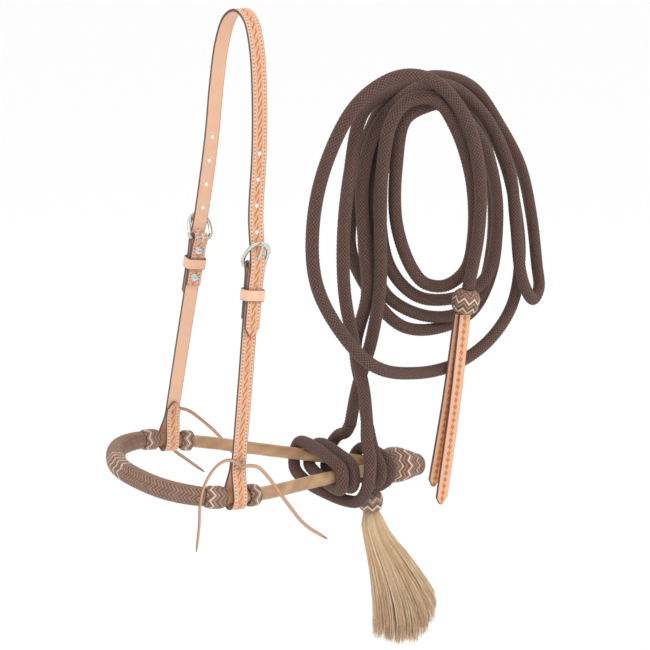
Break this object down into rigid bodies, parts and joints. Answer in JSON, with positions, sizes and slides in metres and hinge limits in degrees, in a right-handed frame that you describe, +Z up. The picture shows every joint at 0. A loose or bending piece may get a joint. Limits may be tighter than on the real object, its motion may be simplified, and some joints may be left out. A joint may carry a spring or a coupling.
{
  "type": "bosal hackamore",
  "caption": "Bitless bosal hackamore: tooled leather headstall with buckles, braided rawhide bosal with heel knot, wrapped rope mecate coiled beside it, leather popper and hair tassel.",
  "frame": {"origin": "underside of the crown strap at its highest point, where the headstall hangs over a peg", "axes": "+Z up; +X from the nose button towards the heel knot; -Y the near side, +Y the far side"},
  "size_m": [0.5675, 0.2107, 0.7487],
  "materials": {
    "strap_leather": "tooled vegetable-tanned leather",
    "popper_leather": "tooled leather",
    "lace_leather": "latigo lace",
    "nickel": "polished nickel plate",
    "rawhide_core": "smooth rawhide",
    "rawhide_braid": "fine braided rawhide with light zigzags",
    "rope": "diamond-braided polyester rope",
    "horsehair": "horsehair"
  },
  "bodies": {
    "hanger": {"crown_strap": "strap_leather", "near_cheek_strap": "strap_leather", "far_cheek_strap": "strap_leather", "near_upper_screw_post": "nickel", "near_upper_screw_cap": "nickel", "near_lower_screw_post": "nickel", "near_lower_screw_cap": "nickel", "near_lace_knot": "lace_leather", "far_upper_screw_post": "nickel", "far_upper_screw_cap": "nickel", "far_lower_screw_post": "nickel", "far_lower_screw_cap": "nickel", "far_lace_knot": "lace_leather", "near_lace_front_tail": "lace_leather", "near_lace_rear_tail": "lace_leather", "far_lace_front_tail": "lace_leather", "far_lace_rear_tail": "lace_leather", "mecate_lead": "rope", "mecate_rein": "rope", "popper_knot": "rawhide_braid"},
    "bosal": {"bosal_core": "rawhide_core", "nose_button": "rawhide_braid", "near_front_stop": "rawhide_braid", "near_rear_stop": "rawhide_braid", "far_front_stop": "rawhide_braid", "far_rear_stop": "rawhide_braid", "heel_knot": "rawhide_braid", "mecate_front_wraps": "rope", "mecate_heel_wraps": "rope", "tassel_knot": "rawhide_braid"},
    "tassel": {"tassel": "horsehair"},
    "near_buckle": {"near_buckle_frame": "nickel"},
    "near_tongue": {"near_buckle_tongue": "nickel"},
    "near_keeper": {"near_keeper": "strap_leather"},
    "far_buckle": {"far_buckle_frame": "nickel"},
    "far_tongue": {"far_buckle_tongue": "nickel"},
    "far_keeper": {"far_keeper": "strap_leather"},
    "popper_front": {"popper_front_strap": "popper_leather"},
    "popper_rear": {"popper_rear_strap": "popper_leather"}
  },
  "joints": [
    {"name": "bosal_swing", "type": "hinge", "parent": "hanger", "child": "bosal", "pos_m": [-0.059, 0, -0.469], "axis": [0, -1, 0], "range_deg": [-10, 15], "deforming": ["mecate_lead", "mecate_rein"]},
    {"name": "tassel_swing", "type": "hinge", "parent": "bosal", "child": "tassel", "pos_m": [0.1491, -0.0095, -0.5676], "axis": [0, -1, 0], "range_deg": [-24, 18]},
    {"name": "near_buckle_tilt", "type": "hinge", "parent": "hanger", "child": "near_buckle", "pos_m": [-0.023, -0.063, -0.237], "axis": [0.9882, 0, -0.1533], "range_deg": [-1.5, 4]},
    {"name": "near_tongue_tilt", "type": "hinge", "parent": "hanger", "child": "near_tongue", "pos_m": [-0.023, -0.063, -0.237], "axis": [0.9882, 0, -0.1533], "range_deg": [-1.5, 4]},
    {"name": "near_keeper_slide", "type": "slide", "parent": "hanger", "child": "near_keeper", "axis": [-0.1527, -0.0891, -0.9842], "range_m": [-0.0038, 0.0038]},
    {"name": "far_buckle_tilt", "type": "hinge", "parent": "hanger", "child": "far_buckle", "pos_m": [-0.023, 0.063, -0.237], "axis": [-0.9882, 0, 0.1533], "range_deg": [-1.5, 4]},
    {"name": "far_tongue_tilt", "type": "hinge", "parent": "hanger", "child": "far_tongue", "pos_m": [-0.023, 0.063, -0.237], "axis": [-0.9882, 0, 0.1533], "range_deg": [-1.5, 4]},
    {"name": "far_keeper_slide", "type": "slide", "parent": "hanger", "child": "far_keeper", "axis": [-0.1527, 0.0891, -0.9842], "range_m": [-0.0038, 0.0038]},
    {"name": "popper_front_swing", "type": "hinge", "parent": "hanger", "child": "popper_front", "pos_m": [0.2456, -0.0475, -0.335], "axis": [-0.9833, -0.1182, 0.1381], "range_deg": [0, 25]},
    {"name": "popper_rear_swing", "type": "hinge", "parent": "hanger", "child": "popper_rear", "pos_m": [0.2426, -0.0427, -0.335], "axis": [-0.9833, -0.1182, 0.1381], "range_deg": [0, 22.5]}
  ],
  "couplings": [
    {"joint": "near_tongue_tilt", "follows": "near_buckle_tilt", "ratio": 1},
    {"joint": "far_tongue_tilt", "follows": "far_buckle_tilt", "ratio": 1},
    {"joint": "popper_rear_swing", "follows": "popper_front_swing", "ratio": 0.9}
  ]
}
